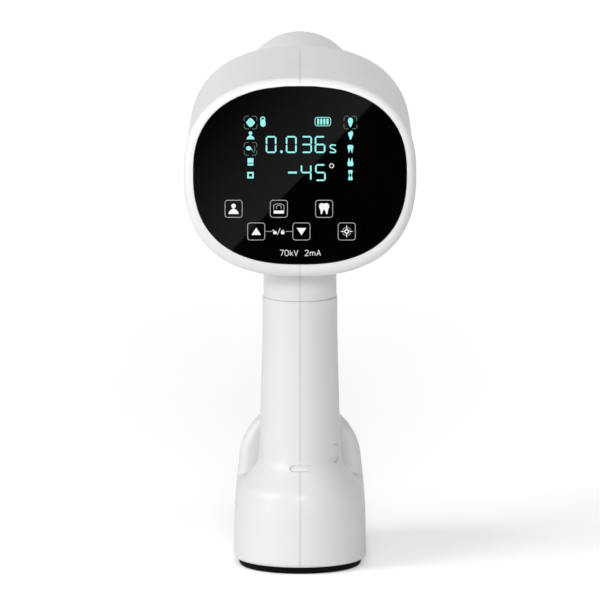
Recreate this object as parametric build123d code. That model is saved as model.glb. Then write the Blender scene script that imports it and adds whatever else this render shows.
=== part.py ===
from build123d import *
import os
from math import cos, pi, radians, sin, sqrt

# Handheld dental x-ray unit.
# X is right as the operator sees the screen, +Y is the beam direction, +Z is up.
# The origin is the centre of the foot's underside.  All sizes are millimetres.

# ------------------------------------------------------------ driving dimensions
WALL = 2.6                    # wall of the moulded covers
SEAM = 0.16                   # gap at every parting line of the covers
HALF_SEAM = SEAM / 2
LIP = 1.5                     # thickness of the lip behind a seam
LIP_REACH = 3.0               # how far the lip reaches each side of the seam
LIP_CLEAR = 0.12              # clearance between a lip and the other cover

FOOT_HEIGHT = 3.8
BASE_RADIUS = 36.0            # half the width of the base, and its end radius
END_AXIS = 22.0               # the base's end radii stand at Y = -22 and Y = +22
BASE_STRAIGHT = 12.0          # height to which the base's wall is upright
HUMP_RADIUS = 33.4            # radius of the domed front block
HUMP_CENTRE_Z = 49.6
SADDLE_Z = 44.0               # top of the base between handle and front block
SHOULDER = 5.0                # rounding of the base's upper edges
FLARE_START_Z = 30.0          # where the rear of the base starts to draw in
BOTTOM_ROUND = 2.4
FOOT_INSET = 2.7              # the foot stands this far inside the base's wall
FOOT_ROUND = 2.0
HUMP_BACK = 14.0              # rear face of the front block
COVER_LINE = 19.0             # parting line of the battery cover

GRIP_AXIS = -22.0             # the handle stands over the rear end radius
GRIP_TOP_RADIUS = 20.4
NECK_SEAM_Z = 148.4
NECK_RADIUS = 19.9

SCREEN_TILT = 8.0             # the screen leans back by this many degrees
SCREEN_Y = -54.1              # the widest line of the screen, on the rim's face
SCREEN_Z = 221.95
RIM_HALF_WIDTH = 63.25
RIM_ABOVE = 51.3              # rim height above and below its widest line
RIM_BELOW = 56.6
RIM_DEPTH = 5.0
RIM_ROLL = 4.0
RIM_STEP = 0.6                # the rim stands proud of the head by this much
SQUARENESS = 2.4              # exponent of the rounded outline, above its widest line
SQUARENESS_BELOW = 2.5
GLASS_HALF_WIDTH = 58.1
GLASS_ABOVE = 46.7
GLASS_BELOW = 50.1
GLASS_THICK = 1.8
GLASS_SUNK = 0.3

HEAD_FRONT_Y = 62.0           # where the head starts to round off towards the cone
HEAD_FRONT_HALF_WIDTH = 60.6
HEAD_FRONT_Z = 221.0
HEAD_FRONT_ABOVE = 51.4
HEAD_FRONT_BELOW = 49.0
HEAD_NOSE = 14.0              # rounding of the head's front edge

BEAM_Z = 229.3
FOCUS_Y = -13.0               # focal spot, 200 mm behind the end of the cone
CONE_RADIUS = 31.6
CONE_WALL = 2.4
CONE_END_Y = 187.0
CONE_START_Y = 49.6
CONE_MOUTH_Y = 77.0           # the cone is a little slimmer where the head holds it
LINER_WALL = 0.8

TANK_HALF_X = 41.0
TANK_BACK_Y = -30.0
TANK_FRONT_Y = 42.0
TANK_LOW_Z = 188.0
TANK_HIGH_Z = 254.0
TANK_WALL = 3.0
TANK_CORNER = 7.0
LEAD_WALL = 1.0
TUBE_RADIUS = 12.0

TRIGGER_Z = 120.0
TRIGGER_WIDTH = 15.0
TRIGGER_HEIGHT = 27.0
BUTTON_Z = 63.2
BUTTON_RADIUS = 4.9
BUTTON_OUT = (0.857, -0.515, 0.0)   # direction in which the power button faces
BUTTON_FACE = 22.2            # distance of the button's face from the handle's axis

CELL_RADIUS = 9.1
CELL_LENGTH = 65.0
CELL_PITCH = 18.6
CELL_LOW_Z = 15.6

# screws across the X = 0 seam, as (Y, Z) places
HEAD_SCREWS = [(-46.0, 174.0), (54.0, 182.0)]
GRIP_SCREWS = [(-9.5, 96.0), (-9.5, 72.0)]
FRAME_SCREWS = [(-49.0, 8.0), (-49.0, -12.0), (49.0, 8.0), (49.0, -12.0)]

PARTS = {}

SCREEN = Plane(
    origin=(0, SCREEN_Y, SCREEN_Z),
    x_dir=(1, 0, 0),
    z_dir=(0, -cos(radians(SCREEN_TILT)), sin(radians(SCREEN_TILT))),
)


# ------------------------------------------------------------ small helpers
def block(x0, x1, y0, y1, z0, z1):
    """A box given by its lowest and highest corners."""
    size = Box(x1 - x0, y1 - y0, z1 - z0)
    return Pos((x0 + x1) / 2, (y0 + y1) / 2, (z0 + z1) / 2) * size


def rod(start, direction, radius, length):
    """A round bar from a point along a direction."""
    return extrude(Plane(origin=start, z_dir=direction) * Circle(radius), length)


def sleeve(start, direction, outer, inner, length):
    """A tube from a point along a direction."""
    ring = Circle(outer) - Circle(inner)
    return extrude(Plane(origin=start, z_dir=direction) * ring, length)


def upright(y, z=0.0):
    """A plane across the beam: its x is X and its y is Z."""
    return Plane(origin=(0, y, z), x_dir=(1, 0, 0), z_dir=(0, -1, 0))


def screen_slab(width, height, centre_w, depth, thick, corner=3.0, centre_u=0.0):
    """A rounded board parallel to the screen, its outer face at a depth below the rim."""
    outline = Pos(centre_u, centre_w) * RectangleRounded(width, height, corner)
    return extrude(SCREEN.offset(-depth) * outline, -thick)


def screen_point(u, w, depth):
    """A point in the screen's own coordinates, as a place in the unit."""
    return SCREEN.from_local_coords((u, w, -depth))


def outline(half_width, above, below, inset=0.0):
    """The head's rounded outline: a superellipse, fuller below its widest line."""
    half_width -= inset
    above -= inset
    below -= inset
    steps = 16
    points = []
    for i in range(steps + 1):
        angle = pi * i / steps - pi / 2
        across = cos(angle) if 0 < i < steps else 0.0
        rise = sin(angle)
        height = above if rise > 0 else below
        power = SQUARENESS if rise > 0 else SQUARENESS_BELOW
        size = (across / half_width) ** power + (abs(rise) / height) ** power
        reach = size ** (-1 / power)
        points.append((reach * across, reach * rise))
    right = Spline(points, tangents=[(1, 0), (-1, 0)])
    return make_face([right, mirror(right, Plane.YZ)])


def together(solids):
    """Several separate solids kept in one node."""
    return Compound(children=list(solids))


def keep(name, shape):
    PARTS[name] = shape


# ------------------------------------------------------------ head
def head_body(inset):
    """The head behind the rim, as a solid, smaller all round by the inset."""
    back = SCREEN.offset(-RIM_DEPTH + 2.0 - inset * 0.6) * outline(
        RIM_HALF_WIDTH, RIM_ABOVE, RIM_BELOW, RIM_STEP + inset
    )
    sections = []
    rounding = HEAD_NOSE - inset
    for i in range(5):
        angle = radians(90 * i / 4)
        y = HEAD_FRONT_Y + rounding * sin(angle)
        shrink = inset + rounding * (1 - cos(angle))
        shape = outline(
            HEAD_FRONT_HALF_WIDTH, HEAD_FRONT_ABOVE, HEAD_FRONT_BELOW, shrink
        )
        sections.append(upright(y, HEAD_FRONT_Z) * shape)
    trunk = loft([back, sections[0]], ruled=True)
    return trunk + loft(sections)


def neck(inset, low, high=178.0):
    """The round neck under the head, flaring where it meets the head."""
    radius = NECK_RADIUS - inset
    with BuildPart() as made:
        with BuildSketch(upright(GRIP_AXIS)):
            with BuildLine():
                side = Line((radius, low), (radius, 160))
                flare = TangentArc(side @ 1, (radius + 8, high), tangent=side % 1)
                Polyline(flare @ 1, (0, high), (0, low), (radius, low))
            make_face()
        revolve(axis=Axis((0, GRIP_AXIS, 0), (0, 0, 1)))
    return made.part


def head_outside():
    rim = extrude(SCREEN * outline(RIM_HALF_WIDTH, RIM_ABOVE, RIM_BELOW), -RIM_DEPTH)
    face = rim.faces().sort_by(Axis(SCREEN.origin, SCREEN.z_dir))[-1]
    rim = fillet(face.edges(), RIM_ROLL)
    return rim + head_body(0) + neck(0, NECK_SEAM_Z + HALF_SEAM)


def head_inside(inset):
    return head_body(inset) + neck(inset, NECK_SEAM_Z - 1)


def glass_outline(grow):
    return outline(GLASS_HALF_WIDTH, GLASS_ABOVE, GLASS_BELOW, -grow)


SCREW_SEAT_X = -8.0           # the cover screws' heads rest here, left of the seam
BOSS_RADIUS = 3.8


def side_bosses(places, outside):
    """Left and right screw bosses across the X = 0 seam, trimmed to the cover."""
    left = []
    right = []
    for y, z in places:
        whole = rod((-70, y, z), (1, 0, 0), BOSS_RADIUS, 140) & outside
        left.append(whole & block(-80, -HALF_SEAM, y - 9, y + 9, z - 9, z + 9))
        right.append(whole & block(HALF_SEAM, 80, y - 9, y + 9, z - 9, z + 9))
    return left, right


def side_holes(places):
    """What is drilled for the side screws in the left and in the right cover."""
    left = []
    right = []
    for y, z in places:
        left.append(rod((SCREW_SEAT_X, y, z), (-1, 0, 0), 3.1, 80))
        left.append(rod((SCREW_SEAT_X - 1, y, z), (1, 0, 0), 1.7, 12))
        right.append(rod((0, y, z), (1, 0, 0), 1.3, 12))
    return left, right


def side_screws(places):
    """Pan head screws that pull the right cover to the left one."""
    made = []
    for y, z in places:
        head = rod((SCREW_SEAT_X, y, z), (-1, 0, 0), 2.8, 2.2)
        socket = extrude(
            Plane(origin=(SCREW_SEAT_X - 2.2, y, z), z_dir=(1, 0, 0))
            * RegularPolygon(1.2, 6), 1.2,
        )
        shank = rod((SCREW_SEAT_X, y, z), (1, 0, 0), 1.3, 19)
        made.append(head + shank - socket)
    return made


def side_plugs(places, outside):
    """Soft plugs that close the screw holes flush with the left cover."""
    return [
        rod((SCREW_SEAT_X - 2.4, y, z), (-1, 0, 0), 3.0, 60) & outside
        for y, z in places
    ]


def split_covers(walls, inside_of, outside, places, lip_low, lip_high):
    """Left and right covers with a lip behind the seam, bosses and screw holes."""
    far = 300
    band = block(-LIP_REACH, LIP_REACH, -far, far, lip_low, lip_high)
    core = inside_of(WALL + LIP)
    lip_left = (inside_of(WALL - 0.05) & band) - core
    lip_right = (inside_of(WALL + LIP_CLEAR) & band) - core
    boss_left, boss_right = side_bosses(places, outside)
    hole_left, hole_right = side_holes(places)
    left = walls & block(-far, -HALF_SEAM, -far, far, -far, far)
    left += lip_left & block(-LIP_REACH, -HALF_SEAM, -far, far, -far, far)
    left += lip_right & block(-HALF_SEAM, LIP_REACH, -far, far, -far, far)
    right = walls & block(HALF_SEAM, far, -far, far, -far, far)
    for boss in boss_left:
        left += boss
    for boss in boss_right:
        left -= boss
        right += boss
    for hole in hole_left:
        left -= hole
    for hole in hole_right:
        right -= hole
    return left, right


FRAME_BACK = 7.7              # depth of the display frame's rear face


def frame_ears(outside):
    """Ears inside the head covers that carry the display frame."""
    ears = []
    for u, w in FRAME_SCREWS:
        outward = 1 if u > 0 else -1
        ear = screen_slab(14, 8, w, FRAME_BACK + 0.1, 9, 1, u + outward * 4)
        ears.append(ear & outside)
    return ears[0] + ears[1], ears[2] + ears[3]


def frame_holes():
    """Pilot holes in the ears."""
    inward = tuple(-part for part in SCREEN.z_dir)
    return [rod(screen_point(u, w, FRAME_BACK), inward, 1.3, 7) for u, w in FRAME_SCREWS]


def head_covers():
    """The two head covers, with the seat of the glass and the mouth for the cone."""
    outside = head_outside()
    walls = outside - head_inside(WALL)
    pocket = extrude(SCREEN.offset(1) * glass_outline(0.15), -(GLASS_THICK + GLASS_SUNK + 1.1))
    window = extrude(SCREEN * glass_outline(-3.0), -9)
    mouth = rod((0, 60, BEAM_Z), (0, 1, 0), CONE_RADIUS, 30)
    walls = walls - pocket - window - mouth
    left, right = split_covers(walls, head_inside, outside, HEAD_SCREWS, 159, 300)
    ears_left, ears_right = frame_ears(outside)
    left = left + ears_left
    right = right + ears_right
    for hole in frame_holes():
        left -= hole
        right -= hole
    left = left - pocket - window - mouth
    right = right - pocket - window - mouth
    column_room = rod((0, GRIP_AXIS, 140), (0, 0, 1), 17.3, 50)
    keep("head_cover_left", left - column_room)
    keep("head_cover_right", right - column_room)
    return outside


# ------------------------------------------------------------ grip and base
def loaf_profile(inset, low):
    """Half of the base's section: upright wall, slight taper, round top."""
    radius = HUMP_RADIUS - inset
    top = HUMP_CENTRE_Z + radius
    with BuildSketch(upright(0)) as made:
        with BuildLine():
            foot = Line((BASE_RADIUS - inset, low), (BASE_RADIUS - inset, BASE_STRAIGHT))
            side = TangentArc(foot @ 1, (radius, HUMP_CENTRE_Z), tangent=(0, 1))
            dome = RadiusArc(side @ 1, (0, top), -radius)
            Polyline(dome @ 1, (0, low), foot @ 0)
        make_face()
    return made.sketch.faces()[0]


def loaf_body(inset, low):
    """The base from the handle's axis forward, at the front block's full height."""
    section = loaf_profile(inset, low)
    middle = extrude(Pos(0, -END_AXIS, 0) * section, 2 * END_AXIS, dir=(0, 1, 0))
    middle += mirror(middle, Plane.YZ)
    front_axis = Axis((0, END_AXIS, 0), (0, 0, 1))
    front = revolve(Pos(0, END_AXIS, 0) * section, axis=front_axis, revolution_arc=180)
    return middle + front


def base_body(inset, low):
    """The base with its domed front block and the low saddle behind it."""
    notch = block(-60, 60, -90, HUMP_BACK + inset, SADDLE_Z - inset, 120)
    body = loaf_body(inset, low) - notch
    if inset == 0:
        body = soften_base(body)
    return body


def soften_base(body):
    """Rounds the shoulders of the base and the rear edge of the front block."""
    saddle = body.faces().filter_by(Axis.Z).sort_by(Axis.Z)[-1]
    block_back = body.faces().filter_by(Axis.Y).sort_by(Axis.Y)[-1]
    arch = block_back.edges().filter_by(GeomType.CIRCLE)
    return fillet(saddle.edges().filter_by(Axis.Y) + arch, SHOULDER)


def handle(inset, low):
    """The round rear of the base, drawn in by a soft flare to the round handle."""
    wall = BASE_RADIUS - inset
    bend = loaf_side_radius()
    start = wall - (bend - sqrt(bend**2 - (FLARE_START_Z - BASE_STRAIGHT) ** 2))
    slope = 1.2 * (FLARE_START_Z - BASE_STRAIGHT) / bend
    with BuildPart() as made:
        with BuildSketch(upright(GRIP_AXIS)):
            with BuildLine():
                foot = Line((wall, low), (wall, BASE_STRAIGHT))
                stem = TangentArc(foot @ 1, (start, FLARE_START_Z), tangent=(0, 1))
                flare = Spline(
                    stem @ 1,
                    (34.35 - inset, 38.5 - inset * 0.1),
                    (33.2 - inset, 43.4 - inset * 0.4),
                    (29.5 - inset * 0.8, 48.4 - inset * 0.6),
                    (24.6 - inset * 0.8, 54.4 - inset * 0.6),
                    (22.3 - inset, 63.0),
                    tangents=[(-slope, 1.0), (-0.05, 1.0)],
                )
                column = Spline(
                    flare @ 1,
                    (21.4 - inset, 92.0),
                    (20.6 - inset, 122.0),
                    (GRIP_TOP_RADIUS - inset, NECK_SEAM_Z - HALF_SEAM + (2 if inset else 0)),
                    tangents=[(-0.05, 1.0), (0, 1)],
                )
                top = NECK_SEAM_Z - HALF_SEAM + (2 if inset else 0)
                Polyline(column @ 1, (0, top), (0, low), foot @ 0)
            make_face()
        revolve(axis=Axis((0, GRIP_AXIS, 0), (0, 0, 1)))
    return made.part


def loaf_side_radius():
    """Radius of the long arc in the base's side wall."""
    rise = HUMP_CENTRE_Z - BASE_STRAIGHT
    draw = BASE_RADIUS - HUMP_RADIUS
    return (rise**2 + draw**2) / (2 * draw)


def grip_body(inset, low):
    """Base, front block and handle together, smaller all round by the inset."""
    turned = handle(inset, low)
    rear = turned & block(-100, 100, -200, GRIP_AXIS, 0, 200)
    fore = turned & block(-100, 100, GRIP_AXIS, 200, FLARE_START_Z + 3, 200)
    return base_body(inset, low) + rear + fore


def grip_outside():
    body = grip_body(0, FOOT_HEIGHT)
    under = body.faces().filter_by(Axis.Z).sort_by(Axis.Z)[0]
    return fillet(under.edges(), BOTTOM_ROUND)


def grip_inside(inset):
    return grip_body(inset, 2)


def button_point(distance):
    """A point on the power button's line, at a distance from the handle's axis."""
    return (
        BUTTON_OUT[0] * distance,
        GRIP_AXIS + BUTTON_OUT[1] * distance,
        BUTTON_Z,
    )


COVER_SCREWS = [(-22.0, 56.0), (22.0, 56.0)]
COVER_SEAT_Y = 30.0           # the battery cover's screw heads rest here
PLATE_SCREWS = [(-22.1, -41.5), (22.1, -41.5), (-22.1, 41.5), (22.1, 41.5)]
PLATE_TOP = 6.1
SLOT_Z = 56.7
SLOT_WIDTH = 11.2
SLOT_HEIGHT = 3.5


def slot_shape(width, height, y0, y1):
    """A slot with round ends, running along Y."""
    shape = Pos(0, SLOT_Z) * SlotOverall(width, height)
    return extrude(upright(y0) * shape, y1 - y0, dir=(0, 1, 0))


def trigger_window(grow, y0, y1):
    """The trigger's rounded outline, run along Y."""
    shape = Pos(0, TRIGGER_Z) * RectangleRounded(
        TRIGGER_WIDTH + 2 * grow, TRIGGER_HEIGHT + 2 * grow, 5 + grow
    )
    return extrude(upright(y0) * shape, y1 - y0, dir=(0, 1, 0))


def plate_bosses(places, outside):
    """Upright bosses that take the base plate's screws."""
    return [rod((x, y, PLATE_TOP + 0.2), (0, 0, 1), 4.2, 15) & outside for x, y in places]


def grip_covers():
    """The two grip covers and the battery cover, with every hole in them."""
    outside = grip_outside()
    walls = outside - grip_inside(WALL)
    far = 300
    behind = block(-far, far, -far, COVER_LINE - HALF_SEAM, -far, far)
    ahead = block(-far, far, COVER_LINE + HALF_SEAM, far, -far, far)

    def inside_of(inset):
        return grip_inside(inset) & behind

    lip_low = PLATE_TOP + 0.3
    left, right = split_covers(
        walls & behind, inside_of, outside, GRIP_SCREWS, lip_low, 139
    )
    cover = walls & ahead
    core = loaf_body(WALL + LIP, 2)
    root_end = COVER_LINE + LIP_REACH
    root = block(-far, far, COVER_LINE + HALF_SEAM, root_end, lip_low, far)
    tip = block(-far, far, HUMP_BACK + WALL + 0.3, COVER_LINE + HALF_SEAM, lip_low, far)
    tip -= block(-LIP_REACH - 0.2, LIP_REACH + 0.2, 0, COVER_LINE, 0, far)
    cover += (loaf_body(WALL - 0.05, 2) & root) - core
    cover += (loaf_body(WALL + LIP_CLEAR, 2) & tip) - core
    rear_bosses = plate_bosses(PLATE_SCREWS[:2], outside)
    left += rear_bosses[0]
    right += rear_bosses[1]
    for boss in plate_bosses(PLATE_SCREWS[2:], outside):
        cover += boss
    for x, y in PLATE_SCREWS:
        hole = rod((x, y, PLATE_TOP), (0, 0, 1), 1.3, 11)
        left -= hole
        right -= hole
        cover -= hole
    for x, z in COVER_SCREWS:
        whole = rod((x, HUMP_BACK - 1, z), (0, 1, 0), 4.3, 60) & outside
        if x < 0:
            left += whole & behind
        else:
            right += whole & behind
        cover += whole & ahead
        pilot = rod((x, COVER_LINE, z), (0, -1, 0), 1.3, 3.6)
        left -= pilot
        right -= pilot
        cover -= rod((x, COVER_LINE - 1, z), (0, 1, 0), 1.7, 40)
        cover -= rod((x, COVER_SEAT_Y, z), (0, 1, 0), 3.1, 40)
    openings = [
        trigger_window(0.35, -12, 10),
        slot_shape(SLOT_WIDTH, SLOT_HEIGHT, -60, -38),
        rod(button_point(10), BUTTON_OUT, BUTTON_RADIUS + 0.2, 20),
        rod((0, GRIP_AXIS, 139), (0, 0, 1), 17.3, 20),
    ]
    for opening in openings:
        left -= opening
        right -= opening
    keep("grip_cover_left", left)
    keep("grip_cover_right", right)
    keep("battery_cover", cover)
    return outside


def side_fasteners(head, grip):
    """The screws across the seam of head and grip, and the plugs over them."""
    keep("side_screws", together(side_screws(HEAD_SCREWS) + side_screws(GRIP_SCREWS)))
    plugs = side_plugs(HEAD_SCREWS, head) + side_plugs(GRIP_SCREWS, grip)
    keep("screw_plugs", together(plugs))


def pan_screw(seat, direction, length, radius=1.3, head_radius=2.8, head_height=2.0):
    """A screw whose head rests on the seat, its shank along the direction."""
    back = tuple(-part for part in direction)
    head = rod(seat, back, head_radius, head_height)
    crown = Plane(origin=seat, z_dir=back).offset(head_height)
    socket = extrude(crown * RegularPolygon(1.2, 6), -1.1)
    return rod(seat, direction, radius, length) + head - socket


def base_parts():
    """The rubber foot, the base plate and the screws that hold plate and cover."""
    foot_radius = BASE_RADIUS - FOOT_INSET
    stadium = Rectangle(2 * foot_radius, 2 * END_AXIS)
    for end in (-END_AXIS, END_AXIS):
        stadium += Pos(0, end) * Circle(foot_radius)
    foot = extrude(stadium, FOOT_HEIGHT)
    foot = fillet(foot.faces().sort_by(Axis.Z)[0].edges(), FOOT_ROUND)
    keep("foot_pad", foot)
    plate_low = FOOT_HEIGHT + 0.1
    sheet = Rectangle(2 * (BASE_RADIUS - WALL - 0.3), 2 * END_AXIS)
    for end in (-END_AXIS, END_AXIS):
        sheet += Pos(0, end) * Circle(BASE_RADIUS - WALL - 0.3)
    plate = extrude(Pos(0, 0, plate_low) * sheet, PLATE_TOP - plate_low)
    screws = []
    for x, y in PLATE_SCREWS:
        plate -= rod((x, y, 0), (0, 0, 1), 1.6, 10)
        plate -= rod((x, y, 0), (0, 0, 1), 2.9, plate_low + 1.3)
        seat = (x, y, plate_low + 1.3)
        screws.append(pan_screw(seat, (0, 0, 1), 11, head_radius=2.7, head_height=1.25))
    keep("base_plate", plate)
    keep("base_screws", together(screws))
    seats = [(x, COVER_SEAT_Y, z) for x, z in COVER_SCREWS]
    keep("cover_screws", together(pan_screw(seat, (0, -1, 0), 14) for seat in seats))


def charge_port_parts():
    """The soft plug in the charging slot and the socket with its board behind it."""
    plug = slot_shape(SLOT_WIDTH - 0.2, SLOT_HEIGHT - 0.2, -60, -41.2) & handle(1.1, FOOT_HEIGHT)
    plug += slot_shape(8.0, 2.2, -41.3, -39.0)
    keep("charge_port_plug", plug)
    socket = slot_shape(9.4, 3.3, -41.0, -33.5) - slot_shape(8.6, 2.6, -42, -34.3)
    socket += block(-6.2, 6.2, -40.5, -31.5, SLOT_Z - 2.9, SLOT_Z - 1.6)
    keep("charge_port", socket)


# ------------------------------------------------------------ battery
def cell_places():
    lower = [(x * CELL_PITCH, CELL_LOW_Z) for x in (-1, 0, 1)]
    rise = CELL_PITCH * sqrt(3) / 2
    upper = [(x * CELL_PITCH / 2, CELL_LOW_Z + rise) for x in (-1, 1)]
    return lower + upper


def battery_parts():
    """Five cells in two nested rows, their links, end holders and board."""
    half = CELL_LENGTH / 2
    cells = []
    for x, z in cell_places():
        can = fillet(rod((x, -half, z), (0, 1, 0), CELL_RADIUS, CELL_LENGTH).edges(), 0.8)
        cells.append(can)
    keep("battery_cells", together(cells))
    low = CELL_LOW_Z - CELL_RADIUS + 0.2
    high = CELL_LOW_Z + CELL_PITCH * sqrt(3) / 2 + CELL_RADIUS - 0.2
    holders = []
    links = []
    for side in (-1, 1):
        inner = side * (half + 0.45)
        outer = side * (half + 3.2)
        y0, y1 = min(inner, outer), max(inner, outer)
        plate = block(-28.4, 28.4, y0, y1, low, CELL_LOW_Z + 9)
        plate += block(-19, 19, y0, y1, CELL_LOW_Z + 8, high)
        for x, z in cell_places():
            plate -= rod((x, y0 - 1, z), (0, 1, 0), 5.0, y1 - y0 + 2)
        holders.append(plate)
        near = side * (half + 0.1)
        far = side * (half + 0.35)
        for row in (cell_places()[:2], cell_places()[3:]):
            strip = block(row[0][0] - 3, row[-1][0] + 3, min(near, far), max(near, far),
                          row[0][1] - 3, row[0][1] + 3)
            links.append(strip)
        x, z = cell_places()[2]
        links.append(block(x - 3, x + 3, min(near, far), max(near, far), z - 3, z + 3))
    keep("cell_holders", together(holders))
    keep("cell_links", together(links))
    board = block(-16.5, 16.5, -38.6, -37.2, 9, 39)
    board += block(-12, -4, -37.2, -36.1, 14, 20)
    board += block(3, 13, -37.2, -36.1, 25, 33)
    keep("battery_board", board)


def power_board_parts():
    """The converter board in the front block, with its posts and capacitors."""
    board = block(-15, 15, 30, 31.6, 46.5, 70)
    posts = []
    for x, z in ((-11, 50), (11, 50), (-11, 66), (11, 66)):
        post = rod((x, 16.8, z), (0, 1, 0), 2.3, 13.2)
        posts.append(post)
    keep("board_posts", together(posts))
    keep("power_board", board)
    cans = [rod((x, 31.7, 58), (0, 1, 0), 4.0, 11) for x in (-9.5, 0, 9.5)]
    cans = [fillet(can.edges().sort_by(Axis.Y)[-1], 0.6) for can in cans]
    keep("bulk_capacitors", together(cans))


def power_harness():
    """The wires from the battery up through the handle to the control board."""
    radius = 2.2
    x = -9.0
    path = FilletPolyline(
        (x, -40.9, 30), (x, -40.9, 43), (x, -25.5, 60),
        (x, -25.5, 168), (x, -41.4, 184), (x, -41.4, 191),
        radius=5.0,
    )
    start = Plane(origin=path @ 0, z_dir=path % 0)
    keep("power_harness", sweep(start * Circle(radius), path=path))


# ------------------------------------------------------------ trigger
def coil(start, direction, radius, wire, length, turns):
    """A compression spring from a point along a direction."""
    path = Helix(length / turns, length, radius)
    section = Plane(origin=path @ 0, z_dir=path % 0) * Circle(wire / 2)
    made = sweep(section, path=path, is_frenet=True)
    return Plane(origin=start, z_dir=direction).location * made


TRIGGER_BACK = -12.2          # rear face of the trigger's flange
GUIDE_BACK = -17.6            # front face of the trigger's switch board


def trigger_parts():
    """The exposure trigger, its guide, return spring and switch board."""
    front = 2.4
    key = trigger_window(0, TRIGGER_BACK, front + 1.0)
    edge = key.faces().sort_by(Axis.Y)[-1].edges()
    key = fillet(edge, 2.4)
    crown = Pos(0, front - 59.0, TRIGGER_Z) * Rot(0, 90, 0) * Cylinder(60.0, 40)
    key &= crown
    flange = block(-9.4, 9.4, TRIGGER_BACK, TRIGGER_BACK + 2, TRIGGER_Z - 15.3, TRIGGER_Z + 15.3)
    spring_z = TRIGGER_Z + 8.5
    switch_z = TRIGGER_Z - 6
    key = key + flange
    for i in range(3):
        rib_z = TRIGGER_Z - 6 + 6 * i
        key -= Pos(0, front + 1.3, rib_z) * Rot(0, 90, 0) * Cylinder(1.6, 9)
    keep("exposure_trigger", key)
    guide = block(-11.4, 11.4, GUIDE_BACK, -8.9, TRIGGER_Z - 18, TRIGGER_Z + 18)
    guide -= block(-9.8, 9.8, GUIDE_BACK - 1, TRIGGER_BACK + 2.2, TRIGGER_Z - 15.7, TRIGGER_Z + 15.7)
    guide -= trigger_window(0.35, -20, 0)
    keep("trigger_guide", guide)
    board = block(-11.4, 11.4, GUIDE_BACK - 1.6, GUIDE_BACK - 0.05, TRIGGER_Z - 18, TRIGGER_Z + 18)
    body = block(-3, 3, GUIDE_BACK - 0.1, GUIDE_BACK + 1.6, switch_z - 3, switch_z + 3)
    plunger = rod((0, GUIDE_BACK, switch_z), (0, 1, 0), 1.6, 2.6)
    keep("trigger_switch_board", board + body + plunger)
    gap = TRIGGER_BACK - GUIDE_BACK
    wire = 0.6
    spring = coil((0, GUIDE_BACK + wire / 2 + 0.05, spring_z), (0, 1, 0), 2.8, wire,
                  gap - wire - 0.1, 3)
    keep("trigger_spring", spring)


# ------------------------------------------------------------ power button
def button_parts():
    """The power button, its return spring and its small switch board."""
    flange_at = 16.2
    cap = rod(button_point(flange_at), BUTTON_OUT, BUTTON_RADIUS, 12)
    cap &= rod((0, GRIP_AXIS, 0), (0, 0, 1), BUTTON_FACE, 100)
    rim_edge = cap.edges().sort_by(Axis((0, GRIP_AXIS, 0), BUTTON_OUT))[-1]
    cap = fillet(rim_edge, 0.5)
    cap += rod(button_point(flange_at), BUTTON_OUT, BUTTON_RADIUS + 1.1, 1.4)
    keep("power_button", cap)
    board_at = 10.0
    face = Plane(origin=button_point(board_at), x_dir=(0, 0, 1), z_dir=BUTTON_OUT)
    board = extrude(face * RectangleRounded(15, 13, 1.5), 1.4)
    board += extrude(face.offset(1.4) * Rectangle(4.0, 4.0), 2.0)
    board += extrude(face.offset(3.4) * Circle(1.1), 1.6)
    board += extrude(face * Pos(0, 0) * Rectangle(8, 6), -2.4)
    keep("power_switch_board", board)
    wire = 0.5
    start = button_point(board_at + 1.4 + wire / 2 + 0.05)
    room = flange_at - (board_at + 1.4)
    keep("button_spring", coil(start, BUTTON_OUT, 3.7, wire, room - wire - 0.1, 3))


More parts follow.
